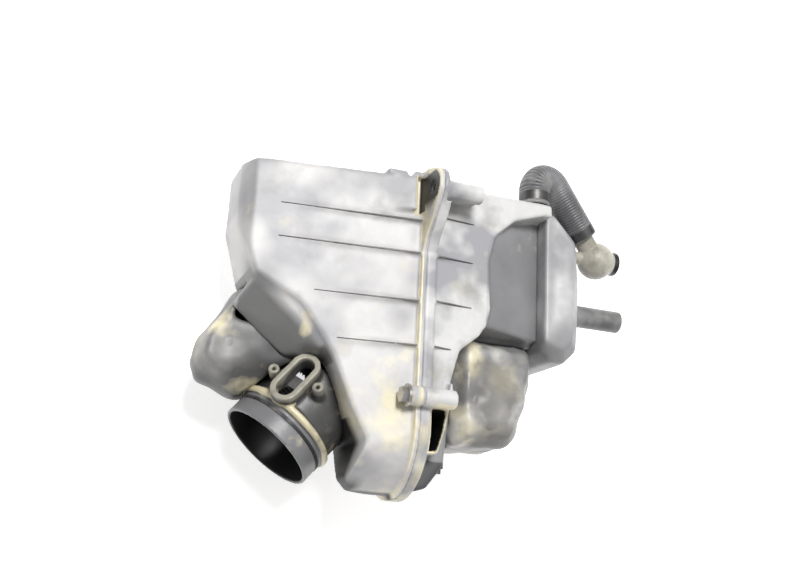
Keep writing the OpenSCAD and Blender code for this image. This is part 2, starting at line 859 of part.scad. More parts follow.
module insert(y, z, x0, x1) {
    difference() {
        rod(x0, x1, y, z, insert_r);
        rod(x0 - 1, x1 + 1, y, z, screw_d / 2 + run_gap);
    }
}

module screw_bush() {
    color("silver") difference() {
        rod(screw_lower_x, 0, screw_lower_y, screw_lower_z, bush_r);
        rod(screw_lower_x - 1, 1, screw_lower_y, screw_lower_z, screw_d / 2 + fit_gap);
    }
}

// Flange-head screw along X, its washer face at x
module screw_lower() {
    x = screw_lower_x;
    color("silver") {
        rod(x, x + screw_l, screw_lower_y, screw_lower_z, screw_d / 2);
        rod(x - 2, x, screw_lower_y, screw_lower_z, washer_d / 2);
        translate([x - 6.5, screw_lower_y, screw_lower_z]) rotate([0, 90, 0])
            cylinder(h = 5, r = 6.4, $fn = 6);
    }
}

module harness_clip() {
    color("black") translate([waist_w, -front_l + 26, 58]) {
        cube([4, 10, 22]);
        translate([0, -4, 16]) cube([3, 18, 4]);
    }
}

module mount_grommets() {
    color("black") for (p = ears) translate([p[0], p[1], 0]) difference() {
        union() {
            translate([0, 0, 0.6]) cylinder(h = mount_z - 0.6, r = grommet_r);
            translate([0, 0, 0.6]) cylinder(h = mount_z + mount_t, r = grommet_r - 2);
            translate([0, 0, mount_z + mount_t]) cylinder(h = 2.4, r = grommet_r);
        }
        translate([0, 0, -1]) cylinder(h = 30, r = mount_bore / 2 + 1.2);
    }
}

module mount_sleeves() {
    color("silver") for (p = ears) translate([p[0], p[1], 0]) difference() {
        cylinder(h = mount_l, r = mount_bore / 2 + 1.2);
        translate([0, 0, -1]) cylinder(h = mount_l + 2, r = mount_bore / 2);
    }
}

// ---------- filter element

module filter_frame() {
    color("dimgray") seam_ring(
        frame_x0, seal_t + 0.2, -element_in, -element_in - frame_t);
}

module filter_seal() {
    color("orangered") seam_ring(0.2, seal_t + 0.2, -2, -element_in);
}

module filter_media() {
    y0 = -front_l + media_in;
    y1 = back_l - media_in;
    count = floor((y1 - y0) / pleat_pitch);
    pitch = (y1 - y0) / count;
    slant_t = paper_t * 3;
    zigzag = [for (i = [0 : 2 * count])
        [element_x0 + (i % 2) * (pleat_h - slant_t), y0 + i * pitch / 2]];
    color([0.88, 0.84, 0.72]) intersection() {
        seam_slab(element_x0, element_x0 + pleat_h, -media_in);
        linear_extrude(far) polygon(concat(
            zigzag, [for (i = [2 * count : -1 : 0]) zigzag[i] + [slant_t, 0]]));
    }
}

case_shell();
rear_chamber();
front_lobe();
inlet_duct();
breather_nipple();
corrugated_hose();
hose_tee();
hose_clips();
screw_inserts();
harness_clip();
mount_grommets();
mount_sleeves();
cap_shell();
side_chamber();
outlet_tube();
outlet_seal();
flow_straightener();
screw_bush();
filter_media();
filter_frame();
filter_seal();
screw_lower();
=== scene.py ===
import math

import bpy
from mathutils import Matrix, Vector


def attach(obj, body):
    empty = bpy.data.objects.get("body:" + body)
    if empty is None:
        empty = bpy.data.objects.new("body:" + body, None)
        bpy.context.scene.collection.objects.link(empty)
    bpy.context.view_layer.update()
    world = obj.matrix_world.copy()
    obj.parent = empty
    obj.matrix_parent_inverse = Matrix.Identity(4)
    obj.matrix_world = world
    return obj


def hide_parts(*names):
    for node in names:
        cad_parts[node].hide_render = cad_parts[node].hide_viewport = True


mm = 0.001

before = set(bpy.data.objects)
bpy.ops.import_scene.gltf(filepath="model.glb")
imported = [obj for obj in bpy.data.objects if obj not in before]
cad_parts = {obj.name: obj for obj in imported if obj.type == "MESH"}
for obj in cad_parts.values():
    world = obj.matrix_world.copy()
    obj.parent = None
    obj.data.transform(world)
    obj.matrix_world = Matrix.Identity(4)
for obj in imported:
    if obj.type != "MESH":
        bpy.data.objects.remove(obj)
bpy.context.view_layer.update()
scene = bpy.context.scene
print("frame loaded,", len(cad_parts), "CAD nodes")


# ---- small helpers

def dropSelection():
    if bpy.context.object and bpy.context.object.mode != "OBJECT":
        bpy.ops.object.mode_set(mode="OBJECT")
    for other in list(bpy.context.selected_objects):
        other.select_set(False)


def makeActive(piece):
    dropSelection()
    piece.select_set(True)
    bpy.context.view_layer.objects.active = piece


def applyModifier(piece, kind, **settings):
    makeActive(piece)
    modifier = piece.modifiers.new(kind.title(), kind)
    for key, value in settings.items():
        setattr(modifier, key, value)
    bpy.ops.object.modifier_apply(modifier=modifier.name)


def copyOfNode(name, node):
    # a merged copy of a CAD node, to be softened
    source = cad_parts[node]
    piece = bpy.data.objects.new(name, source.data.copy())
    scene.collection.objects.link(piece)
    piece.data.materials.clear()
    makeActive(piece)
    bpy.ops.object.mode_set(mode="EDIT")
    bpy.ops.mesh.select_all(action="SELECT")
    bpy.ops.mesh.remove_doubles(threshold=0.00001)
    bpy.ops.object.mode_set(mode="OBJECT")
    return piece


def weightBy(piece, name, weigh):
    # vertex group from a function of x, y, z in millimetres
    group = piece.vertex_groups.new(name=name)
    for vertex in piece.data.vertices:
        x, y, z = (value / mm for value in vertex.co)
        share = weigh(x, y, z)
        if share > 0.01:
            group.add([vertex.index], min(share, 1.0), "REPLACE")
    return name


def fade(value, low, high):
    # 0 below low, 1 above high
    if low == high:
        return 1.0 if value >= high else 0.0
    share = (value - low) / (high - low)
    return max(0.0, min(1.0, share))


def smoothOut(piece, repeats, group="", factor=0.5):
    applyModifier(piece, "SMOOTH", factor=factor, iterations=repeats, vertex_group=group)


def thinOut(piece, most):
    count = sum(len(face.vertices) - 2 for face in piece.data.polygons)
    if count > most:
        applyModifier(piece, "DECIMATE", ratio=most / count)


def dent(piece, depth, size, group=""):
    cloud = bpy.data.textures.new(piece.name + "Dents", "CLOUDS")
    cloud.noise_scale = size
    cloud.noise_depth = 1
    applyModifier(piece, "DISPLACE", texture=cloud, strength=depth, mid_level=0.5,
                  texture_coords="LOCAL", vertex_group=group)


def blobs(spots, x, y, z):
    # strongest of several soft ellipsoids, each a centre, radii and a strength
    most = 0.0
    for (spotX, spotY, spotZ), (wideX, wideY, wideZ), strength in spots:
        away = math.sqrt(((x - spotX) / wideX) ** 2 + ((y - spotY) / wideY) ** 2
                         + ((z - spotZ) / wideZ) ** 2)
        most = max(most, strength * fade(away, 1.4, 0.5))
    return most


def tint(piece, **layers):
    # a value from 0 to 1 on every vertex, for the materials to read
    for name, weigh in layers.items():
        values = [max(0.0, min(1.0, weigh(*(part / mm for part in vertex.co))))
                  for vertex in piece.data.vertices]
        layer = piece.data.attributes.new(name, "FLOAT", "POINT")
        layer.data.foreach_set("value", values)


def finish(piece, body, slotName, material, *nodes):
    makeActive(piece)
    bpy.ops.object.shade_smooth()
    piece.data.materials.clear()
    piece.data.materials.append(material)
    if nodes:
        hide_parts(*nodes)
    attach(piece, body)
    dropSelection()


def paint(node, material):
    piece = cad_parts[node]
    for slot in piece.material_slots:
        slot.material = material
    if not piece.material_slots:
        piece.data.materials.append(material)


# ---- materials

def newMaterial(name):
    material = bpy.data.materials.new(name)
    material.use_nodes = True
    nodes = material.node_tree.nodes
    nodes.clear()
    output = nodes.new("ShaderNodeOutputMaterial")
    shader = nodes.new("ShaderNodeBsdfPrincipled")
    material.node_tree.links.new(shader.outputs["BSDF"], output.inputs["Surface"])
    return material, nodes, material.node_tree.links, shader


def noiseMask(nodes, links, place, size, low, high, detail=4.0, stretch=(1, 1, 1)):
    mapping = nodes.new("ShaderNodeMapping")
    mapping.inputs["Scale"].default_value = stretch
    links.new(place, mapping.inputs["Vector"])
    noise = nodes.new("ShaderNodeTexNoise")
    noise.inputs["Scale"].default_value = size
    noise.inputs["Detail"].default_value = detail
    links.new(mapping.outputs["Vector"], noise.inputs["Vector"])
    ramp = nodes.new("ShaderNodeMapRange")
    ramp.inputs["From Min"].default_value = low
    ramp.inputs["From Max"].default_value = high
    links.new(noise.outputs["Fac"], ramp.inputs["Value"])
    return ramp.outputs["Result"]


def mixColour(nodes, links, share, first, second):
    mix = nodes.new("ShaderNodeMix")
    mix.data_type = "RGBA"
    links.new(share, mix.inputs["Factor"])
    for value, socket in ((first, mix.inputs["A"]), (second, mix.inputs["B"])):
        if isinstance(value, (tuple, list)):
            socket.default_value = (*value, 1.0)
        else:
            links.new(value, socket)
    return mix.outputs["Result"]


def times(nodes, links, first, second):
    product = nodes.new("ShaderNodeMath")
    product.operation = "MULTIPLY"
    links.new(first, product.inputs[0])
    if isinstance(second, float):
        product.inputs[1].default_value = second
    else:
        links.new(second, product.inputs[1])
    return product.outputs["Value"]


def layerMask(nodes, links, place, name, ragged):
    # a painted layer, with its edge broken up by noise if it is ragged
    layer = nodes.new("ShaderNodeAttribute")
    layer.attribute_name = name
    if not ragged:
        return layer.outputs["Fac"]
    noise = noiseMask(nodes, links, place, 48.0, 0.28, 0.72, 8.0)
    lifted = times(nodes, links, layer.outputs["Fac"], 1.25)
    total = nodes.new("ShaderNodeMath")
    total.operation = "ADD"
    links.new(lifted, total.inputs[0])
    links.new(noise, total.inputs[1])
    ramp = nodes.new("ShaderNodeMapRange")
    ramp.inputs["From Min"].default_value = 0.8
    ramp.inputs["From Max"].default_value = 1.45
    links.new(total.outputs["Value"], ramp.inputs["Value"])
    return times(nodes, links, ramp.outputs["Result"], 0.8)


def plastic(name, tones, dust, roughness, grain=0.12, layers=()):
    # tones: light, dark, patch size, low, high; dust: colour, size, low, high, share
    # layers: a painted layer's name, its colour and whether its edge is ragged
    material, nodes, links, shader = newMaterial(name)
    coordinates = nodes.new("ShaderNodeTexCoord")
    place = coordinates.outputs["Object"]
    patches = noiseMask(nodes, links, place, tones["size"], tones["low"], tones["high"], 3.0)
    colour = mixColour(nodes, links, patches, tones["dark"], tones["light"])
    mottle = times(nodes, links, noiseMask(nodes, links, place, 160.0, 0.35, 0.65, 6.0), 0.16)
    colour = mixColour(nodes, links, mottle, colour, tones["dark"])
    dusty = noiseMask(nodes, links, place, dust["size"], dust["low"], dust["high"], 8.0)
    dusty = times(nodes, links, dusty, dust["share"])
    colour = mixColour(nodes, links, dusty, colour, dust["colour"])
    for layer, layerColour, ragged in layers:
        mask = layerMask(nodes, links, place, layer, ragged)
        cloudy = noiseMask(nodes, links, place, 26.0, 0.3, 0.7, 6.0)
        lighter = [min(1.0, part * 1.35) for part in layerColour]
        layerTone = mixColour(nodes, links, cloudy, layerColour, lighter)
        colour = mixColour(nodes, links, mask, colour, layerTone)
    links.new(colour, shader.inputs["Base Color"])
    rough = noiseMask(nodes, links, place, 35.0, 0.0, 1.0)
    spread = nodes.new("ShaderNodeMapRange")
    spread.inputs["To Min"].default_value = roughness - 0.1
    spread.inputs["To Max"].default_value = roughness + 0.1
    links.new(rough, spread.inputs["Value"])
    links.new(spread.outputs["Result"], shader.inputs["Roughness"])
    bump = nodes.new("ShaderNodeBump")
    bump.inputs["Strength"].default_value = grain
    bump.inputs["Distance"].default_value = 0.0006
    fine = nodes.new("ShaderNodeTexNoise")
    fine.inputs["Scale"].default_value = 420.0
    fine.inputs["Detail"].default_value = 3.0
    links.new(place, fine.inputs["Vector"])
    links.new(fine.outputs["Fac"], bump.inputs["Height"])
    links.new(bump.outputs["Normal"], shader.inputs["Normal"])
    return material


def metal(name, colour, roughness, dirt):
    material, nodes, links, shader = newMaterial(name)
    coordinates = nodes.new("ShaderNodeTexCoord")
    worn = noiseMask(nodes, links, coordinates.outputs["Object"], 90.0, 0.35, 0.7, 6.0)
    links.new(mixColour(nodes, links, worn, colour, dirt), shader.inputs["Base Color"])
    shader.inputs["Metallic"].default_value = 0.85
    shader.inputs["Roughness"].default_value = roughness
    return material


cream = (0.70, 0.63, 0.42)
# near black painted shadow, for hollows, openings and shaded walls
soot = (0.012, 0.012, 0.013)
quietDust = {"colour": (0.66, 0.63, 0.54), "size": 60.0, "low": 0.5, "high": 0.75, "share": 0.22}

capPlastic = plastic(
    "capPlastic",
    {"light": (0.56, 0.55, 0.54), "dark": (0.33, 0.325, 0.34),
     "size": 15.0, "low": 0.40, "high": 0.58},
    {"colour": (0.70, 0.68, 0.62), "size": 40.0, "low": 0.5, "high": 0.8, "share": 0.35}, 0.45,
    layers=(("shade", (0.115, 0.115, 0.113), False), ("cream", cream, True),
            ("grime", (0.22, 0.215, 0.205), True), ("soot", soot, False)))
casePlastic = plastic(
    "casePlastic",
    {"light": (0.60, 0.595, 0.585), "dark": (0.30, 0.30, 0.315),
     "size": 20.0, "low": 0.42, "high": 0.54},
    {"colour": (0.70, 0.69, 0.64), "size": 40.0, "low": 0.5, "high": 0.8, "share": 0.3}, 0.45,
    layers=(("shade", (0.18, 0.18, 0.185), False), ("cream", cream, True),
            ("grime", (0.24, 0.235, 0.225), True), ("soot", soot, False)))
chamberPlastic = plastic(
    "chamberPlastic",
    {"light": (0.36, 0.35, 0.33), "dark": (0.10, 0.10, 0.10),
     "size": 21.0, "low": 0.42, "high": 0.62},
    {"colour": cream, "size": 45.0, "low": 0.55, "high": 0.75, "share": 0.35}, 0.45,
    layers=(("shade", (0.075, 0.075, 0.075), False), ("cream", cream, True), ("soot", soot, False)))
lobePlastic = plastic(
    "lobePlastic",
    {"light": (0.60, 0.585, 0.55), "dark": (0.17, 0.168, 0.17),
     "size": 26.0, "low": 0.38, "high": 0.58},
    {"colour": cream, "size": 42.0, "low": 0.5, "high": 0.7, "share": 0.5}, 0.40,
    layers=(("shade", (0.15, 0.15, 0.15), False), ("cream", cream, True),
            ("grime", (0.13, 0.125, 0.115), True)))
rearPlastic = plastic(
    "rearPlastic",
    {"light": (0.58, 0.58, 0.58), "dark": (0.30, 0.30, 0.31),
     "size": 19.0, "low": 0.40, "high": 0.60},
    quietDust, 0.42, layers=(("shade", (0.20, 0.20, 0.205), False),))
# on the outlet the shade layer is painted light, lifting the mouth collar to a lighter grey
outletPlastic = plastic(
    "outletPlastic",
    {"light": (0.085, 0.085, 0.083), "dark": (0.028, 0.028, 0.029),
     "size": 22.0, "low": 0.36, "high": 0.62},
    {"colour": (0.33, 0.30, 0.22), "size": 60.0, "low": 0.54, "high": 0.76, "share": 0.4}, 0.38,
    layers=(("shade", (0.155, 0.155, 0.16), False), ("pale", (0.34, 0.32, 0.26), True),
            ("cream", cream, True), ("soot", soot, False)))
hosePlastic = plastic(
    "hosePlastic",
    {"light": (0.20, 0.20, 0.205), "dark": (0.10, 0.10, 0.105),
     "size": 30.0, "low": 0.36, "high": 0.62},
    quietDust, 0.40)
# dark ribs: painted shade standing for the shaded sides of the fins
ribPaintedShade = plastic(
    "ribPaintedShade",
    {"light": (0.15, 0.148, 0.14), "dark": (0.09, 0.09, 0.088),
     "size": 40.0, "low": 0.36, "high": 0.62},
    quietDust, 0.45)
teePlastic = plastic(
    "teePlastic",
    {"light": (0.58, 0.56, 0.50), "dark": (0.28, 0.26, 0.21),
     "size": 45.0, "low": 0.36, "high": 0.62},
    {"colour": (0.16, 0.14, 0.10), "size": 90.0, "low": 0.55, "high": 0.72, "share": 0.5}, 0.40,
    layers=(("soot", soot, False),))
darkRubber = plastic(
    "darkRubber",
    {"light": (0.035, 0.035, 0.035), "dark": (0.015, 0.015, 0.015),
     "size": 60.0, "low": 0.4, "high": 0.6},
    quietDust, 0.65)
sealFoam = plastic(
    "sealFoam",
    {"light": (0.52, 0.17, 0.07), "dark": (0.40, 0.12, 0.05),
     "size": 50.0, "low": 0.4, "high": 0.6},
    quietDust, 0.7)
framePlastic = plastic(
    "framePlastic",
    {"light": (0.10, 0.10, 0.10), "dark": (0.06, 0.06, 0.06),
     "size": 50.0, "low": 0.4, "high": 0.6},
    quietDust, 0.5)
filterPaper = plastic(
    "filterPaper",
    {"light": (0.82, 0.77, 0.62), "dark": (0.66, 0.58, 0.40),
     "size": 18.0, "low": 0.4, "high": 0.6},
    {"colour": (0.40, 0.33, 0.22),
     "size": 70.0, "low": 0.55, "high": 0.8, "share": 0.5}, 0.9, grain=0.3)
zincMetal = metal("zincMetal", (0.62, 0.62, 0.63), 0.32, (0.34, 0.30, 0.24))
bandSteel = metal("bandSteel", (0.12, 0.12, 0.125), 0.42, (0.07, 0.065, 0.06))
insertBrass = metal("insertBrass", (0.72, 0.54, 0.26), 0.35, (0.40, 0.28, 0.14))
print("materials ready")


# ---- camera

camera = {
    "place": (-0.2834, -0.1876, 0.8318),
    "right": (0.928, 0.049, 0.369),
    "back": (-0.342, -0.278, 0.898),
    "lens": 45.0,
}
back = Vector(camera["back"]).normalized()
right = Vector(camera["right"])
right = (right - back * right.dot(back)).normalized()
up = back.cross(right)
cameraData = bpy.data.cameras.new("Camera")
cameraData.lens = camera["lens"]
cameraData.sensor_width = 36.0
cameraData.clip_start = 0.01
cameraObject = bpy.data.objects.new("Camera", cameraData)
scene.collection.objects.link(cameraObject)
turn = Matrix((right, up, back)).transposed().to_4x4()
cameraObject.matrix_world = Matrix.Translation(camera["place"]) @ turn
scene.camera = cameraObject


# ---- what the cap, the case and the outlet share, in millimetres

faceTop = 140.0                         # of both ribbed faces, at the parting line
capFall = math.tan(math.radians(6))     # of the cap's face, away from the parting line
lowerScrew = (-56, 148)                 # Y and Z
upperScrew = (108, 159)
outletRoot = (-62, -52, 67)
outletWay = (-0.6419, -0.765, 0.0523)


def fromOutlet(x, y, z):
    # a point's offset from the outlet's root, and how far that lies along its middle line
    offset = [value - start for value, start in zip((x, y, z), outletRoot)]
    return offset, sum(a * b for a, b in zip(offset, outletWay))


def windowRibTop(y):
    # height of the rib beside the window under the lower screw
    return 138 + (y + 60) * 0.375 if y > -76 else 132 + (y + 76) * 0.72


# ---- cap

capLook = {
    "voxel": 1.25 * mm,
    "edgeRounds": 3,        # of smoothing all over
    "bodyRounds": 26,       # more, away from the flange and the fittings
    "ripple": 0.7 * mm,
    "most": 190000,         # triangles
}


def capSoftness(x, y, z):
    awayFromFlange = fade(-x, 12, 24)
    fromBoss = math.hypot(y - lowerScrew[0], z - lowerScrew[1])
    awayFromBoss = fade(fromBoss, 12, 20) if x > -30 else 1.0
    offset, along = fromOutlet(x, y, z)
    across = [a - along * b for a, b in zip(offset, outletWay)]
    awayFromTube = fade(math.sqrt(sum(a * a for a in across)), 43, 52)
    if along < -30:
        awayFromTube = 1.0
    return awayFromFlange * awayFromBoss * awayFromTube


capBody = copyOfNode("capBody", "cap_shell")
applyModifier(capBody, "REMESH", mode="VOXEL", voxel_size=capLook["voxel"])
smoothOut(capBody, capLook["edgeRounds"])
weightBy(capBody, "soft", capSoftness)
smoothOut(capBody, capLook["bodyRounds"], "soft")
dent(capBody, capLook["ripple"], 0.05, "soft")
thinOut(capBody, capLook["most"])


def capShade(x, y, z):
    # painted shade on the ramp below the shoulder and inside round the outlet, and a weaker band of
    # it along the left edge of the face
    drop = faceTop - abs(x) * capFall - z
    ramp = 0.9 * fade(drop, 4, 9) if x > -137 and -34 < y < 33 else 0.0
    under = fade(z, 70, 56) * fade(x, -24, -40) * fade(x, -134, -122) * fade(y, 50, 10)
    spots = (((-122, 22, 110), (22, 16, 16), 0.95), ((-142, 80, 122), (7, 60, 12), 0.4))
    return max(ramp, under, blobs(spots, x, y, z))


def capCream(x, y, z):
    # dust on the flange's edge, down the ramp and round the neck, and a brownish painted shadow
    # beside the lower screw's head
    onEdge = 0.7 if -4.6 < x < -2.2 and z > 40 else 0.0
    inGap = 1.0 if -11 < x < -5.4 and 90 < y < 123 and z > 133 else 0.0
    spots = (((-88, 2, 118), (7, 20, 12), 1.0), ((-24, -62, 118), (44, 44, 40), 0.5),
             ((-12, -104, 80), (34, 26, 44), 0.85), ((-22, -58, 138), (8, 9, 9), 1.0))
    return max(onEdge, inGap, blobs(spots, x, y, z))


def capGrime(x, y, z):
    spots = (((-22, -92, 104), (26, 16, 24), 0.75), ((-4, -110, 80), (16, 16, 34), 0.75),
             ((-50, -40, 130), (30, 30, 12), 0.3), ((-120, 100, 128), (26, 20, 12), 0.32),
             ((-30, 96, 138), (30, 26, 10), 0.3), ((-80, 50, 132), (40, 40, 10), 0.22))
    return blobs(spots, x, y, z)


def capPaintedShadow(x, y, z):
    # painted shadow on the wall behind the outlet, and painted shade on the face of the upper ear
    wall = blobs((((-64, -70, 58), (46, 58, 56), 1.0),), x, y, z) * fade(z, 120, 106)
    if y < -72:
        edge = -4 - (90 - z) * 0.65
        wall = max(wall, fade(x, edge + 4, edge - 3) * fade(z, 104, 98),
                   fade(x, -30, -38) * fade(z, 122, 108))
    fromHole = math.hypot(y - upperScrew[0], z - upperScrew[1])
    inEar = fromHole < 13.5 or (93 < y < 121.5 and 134 < z < 159)
    return max(wall, 1.0 if inEar and -5.3 < x < -2.5 else 0.0)


tint(capBody, shade=capShade, cream=capCream, grime=capGrime, soot=capPaintedShadow)
finish(capBody, "cap", "cap_plastic", capPlastic, "cap_shell")
print("cap body softened,", len(capBody.data.polygons), "faces")

sideLook = {"voxel": 1.4 * mm, "rounds": 60, "dent": 5.0 * mm, "dentSize": 0.028}
sidePod = copyOfNode("sidePod", "side_chamber")
applyModifier(sidePod, "REMESH", mode="VOXEL", voxel_size=sideLook["voxel"])
smoothOut(sidePod, sideLook["rounds"])
dent(sidePod, sideLook["dent"], sideLook["dentSize"])
smoothOut(sidePod, 4)
thinOut(sidePod, 120000)


# painted shade, on the panel facing the cap and darker towards the bottom
def sideShade(x, y, z):
    spots = (((-106, -22, 82), (26, 30, 40), 1.2), ((-140, -44, 62), (38, 24, 26), 0.9),
             ((-150, 0, 56), (30, 30, 18), 0.8))
    return blobs(spots, x, y, z)


def sideCream(x, y, z):
    return blobs((((-128, 9, 98), (10, 7, 12), 0.9), ((-148, -8, 92), (9, 14, 9), 0.6),
                  ((-120, -50, 80), (16, 8, 16), 0.55)), x, y, z)


def sidePaintedShadow(x, y, z):
    # painted shade inside the strap slot
    return blobs((((-129, 1, 92), (9, 6, 12), 1.0),), x, y, z)


tint(sidePod, shade=sideShade, cream=sideCream, soot=sidePaintedShadow)
finish(sidePod, "cap", "chamber_plastic", chamberPlastic, "side_chamber")
print("side chamber softened,", len(sidePod.data.polygons), "faces")

outletLook = {"voxel": 0.85 * mm, "rounds": 3}


def alongOutlet(x, y, z):
    # how far a point lies along the outlet's middle line, and how far off it
    offset, along = fromOutlet(x, y, z)
    away = math.sqrt(max(0.0, sum(a * a for a in offset) - along * along))
    return along, away


# painted light: the mouth collar a lighter grey than the rest of the tube
def outletLitCollar(x, y, z):
    along, away = alongOutlet(x, y, z)
    return fade(along, 36.5, 38.0) * fade(away, 38.2, 38.8)


def outletPale(x, y, z):
    along, away = alongOutlet(x, y, z)
    return 0.75 * fade(away, 45, 50) if along < 40 else 0.0


def outletCream(x, y, z):
    along, away = alongOutlet(x, y, z)
    return 0.8 * fade(away, 40.4, 41.5) if 28 < along < 38 and away < 44.5 else 0.0


# painted shade inside the tube
def outletPaintedShadow(x, y, z):
    along, away = alongOutlet(x, y, z)
    return fade(away, 38.4, 37.6)


outletNeck = copyOfNode("outletNeck", "outlet_tube")
applyModifier(outletNeck, "REMESH", mode="VOXEL", voxel_size=outletLook["voxel"])
smoothOut(outletNeck, outletLook["rounds"])
thinOut(outletNeck, 180000)
tint(outletNeck, shade=outletLitCollar, pale=outletPale, cream=outletCream, soot=outletPaintedShadow)
finish(outletNeck, "cap", "outlet_plastic", outletPlastic, "outlet_tube")
print("outlet softened,", len(outletNeck.data.polygons), "faces")


# ---- case

caseLook = {
    "voxel": 1.3 * mm,
    "edgeRounds": 3,
    "bodyRounds": 22,
    "ripple": 0.7 * mm,
    "most": 190000,
}


def caseSoftness(x, y, z):
    awayFromFlange = fade(x, 14, 24)
    awayFromBosses = 1.0
    for bossY, bossZ in (lowerScrew, upperScrew):
        if x < 46:
            awayFromBosses *= fade(math.hypot(y - bossY, z - bossZ), 12, 20)
    return awayFromFlange * awayFromBosses * fade(z, 4, 14)


caseBody = copyOfNode("caseBody", "case_shell")
applyModifier(caseBody, "REMESH", mode="VOXEL", voxel_size=caseLook["voxel"])
smoothOut(caseBody, caseLook["edgeRounds"])
weightBy(caseBody, "soft", caseSoftness)
smoothOut(caseBody, caseLook["bodyRounds"], "soft")
dent(caseBody, caseLook["ripple"], 0.05, "soft")
thinOut(caseBody, caseLook["most"])


def caseShade(x, y, z):
    # painted shade on the scooped panel, the valley floor and the wall below the front corner
    scoop = 135 - (x - 57) * math.tan(math.radians(23))
    shade = fade(z, scoop + 2.2, scoop + 0.9) if x > 56 and 6 < y < 112.5 else 0.0
    if y < 7 and z < 104:
        shade = max(shade, 0.85)
    if y < -96.5 and x > 9.6:
        shade = 1.0
    return shade


def caseCream(x, y, z):
    low = 0.45 * fade(y, -40, -90) if x < 9.6 else 0.0
    # the tops of the rib and the ledge round the window
    ribTop = windowRibTop(y)
    edge = 0.9 if 25.4 < x < 28 and -96 < y < -61 and z > ribTop - 14 else 0.0
    onRib = -96 < y < -61 and z > ribTop - 2
    onLedge = -95 < y < -91 and z > 112
    if 9.6 < x < 28 and (onRib or onLedge):
        edge = 0.9
    return max(low, edge, blobs((((12, -58, 142), (10, 10, 6), 0.5),), x, y, z))


# painted shadow inside the window under the lower screw, and on the wall below it
def casePaintedShadow(x, y, z):
    inWindow = 9.4 < x < 25.2 and -91.4 < y < -62 and 56 < z < windowRibTop(y) - 2
    window = 1.0 if inWindow else 0.0
    below = 0.75 if y < -97 and x > 9.8 and z > 50 else 0.0
    return max(window, below)


def caseGrime(x, y, z):
    spots = (((30, -30, 136), (22, 26, 8), 0.35), ((5, -100, 100), (6, 30, 30), 0.6),
             ((40, 100, 138), (34, 16, 8), 0.45), ((44, 40, 138), (14, 26, 8), 0.4),
             ((14, -30, 140), (10, 14, 6), 0.3))
    return blobs(spots, x, y, z)


tint(caseBody, shade=caseShade, cream=caseCream, soot=casePaintedShadow, grime=caseGrime)
finish(caseBody, "case", "case_plastic", casePlastic, "case_shell")
print("case body softened,", len(caseBody.data.polygons), "faces")

rearLook = {"voxel": 1.3 * mm, "rounds": 22, "ripple": 0.8 * mm}
rearBox = copyOfNode("rearBox", "rear_chamber")
applyModifier(rearBox, "REMESH", mode="VOXEL", voxel_size=rearLook["voxel"])
smoothOut(rearBox, 3)
weightBy(rearBox, "soft", lambda x, y, z: fade(z, 26, 34))
smoothOut(rearBox, rearLook["rounds"], "soft")
dent(rearBox, rearLook["ripple"], 0.04)
thinOut(rearBox, 120000)
# painted shade in two soft patches on the rear chamber
tint(rearBox, shade=lambda x, y, z: blobs((((134, 0, 112), (34, 26, 24), 1.0),
                                           ((120, 60, 124), (6, 70, 10), 0.6)), x, y, z))
finish(rearBox, "case", "case_plastic", rearPlastic, "rear_chamber")

lobeLook = {"voxel": 1.4 * mm, "rounds": 50, "dent": 5.5 * mm, "dentSize": 0.022}
frontPod = copyOfNode("frontPod", "front_lobe")
applyModifier(frontPod, "REMESH", mode="VOXEL", voxel_size=lobeLook["voxel"])
smoothOut(frontPod, 3)
weightBy(frontPod, "soft", lambda x, y, z: fade(z, 30, 44))
smoothOut(frontPod, lobeLook["rounds"], "soft")
dent(frontPod, lobeLook["dent"], lobeLook["dentSize"], "soft")
smoothOut(frontPod, 4)
thinOut(frontPod, 120000)


# painted shade in patches: the top right, the lower front and the far side
def lobeShade(x, y, z):
    spots = (((108, -4, 106), (26, 22, 20), 1.2), ((66, -45, 108), (13, 20, 14), 0.6),
             ((80, -82, 90), (36, 12, 30), 0.8), ((112, -34, 90), (10, 44, 22), 0.6))
    return blobs(spots, x, y, z)


def lobeCream(x, y, z):
    spots = (((84, -28, 112), (16, 12, 12), 0.6), ((58, -14, 112), (8, 20, 14), 0.7),
             ((100, -58, 104), (12, 10, 14), 0.4), ((56, -70, 104), (10, 16, 14), 0.5))
    return blobs(spots, x, y, z)


def lobeGrime(x, y, z):
    spots = (((76, -40, 112), (30, 34, 16), 0.75), ((90, -70, 100), (34, 18, 26), 0.8))
    return blobs(spots, x, y, z)


tint(frontPod, shade=lobeShade, cream=lobeCream, grime=lobeGrime)
finish(frontPod, "case", "chamber_plastic", lobePlastic, "front_lobe")
print("case chambers softened")

teeLook = {"voxel": 0.6 * mm, "rounds": 5}
teeBody = copyOfNode("teeBody", "hose_tee")
applyModifier(teeBody, "REMESH", mode="VOXEL", voxel_size=teeLook["voxel"])
smoothOut(teeBody, teeLook["rounds"])
thinOut(teeBody, 60000)
# painted shade on the end of the tee's branch
tint(teeBody, soot=lambda x, y, z: fade(x, 193.2, 194.0))
finish(teeBody, "case", "tee_plastic", teePlastic, "hose_tee")


# ---- corrugated hose

hoseLook = {
    "start": (106.0, 124.0, 122.0),
    "radius": 12.0,
    "groove": 1.1,
    "pitch": 2.4,
    "bend": 14.0,
    "leg": 14.0,
    "run": 52.0,
    "turn": math.radians(136),
    "fall": math.radians(16),
    "wall": 1.6,
}


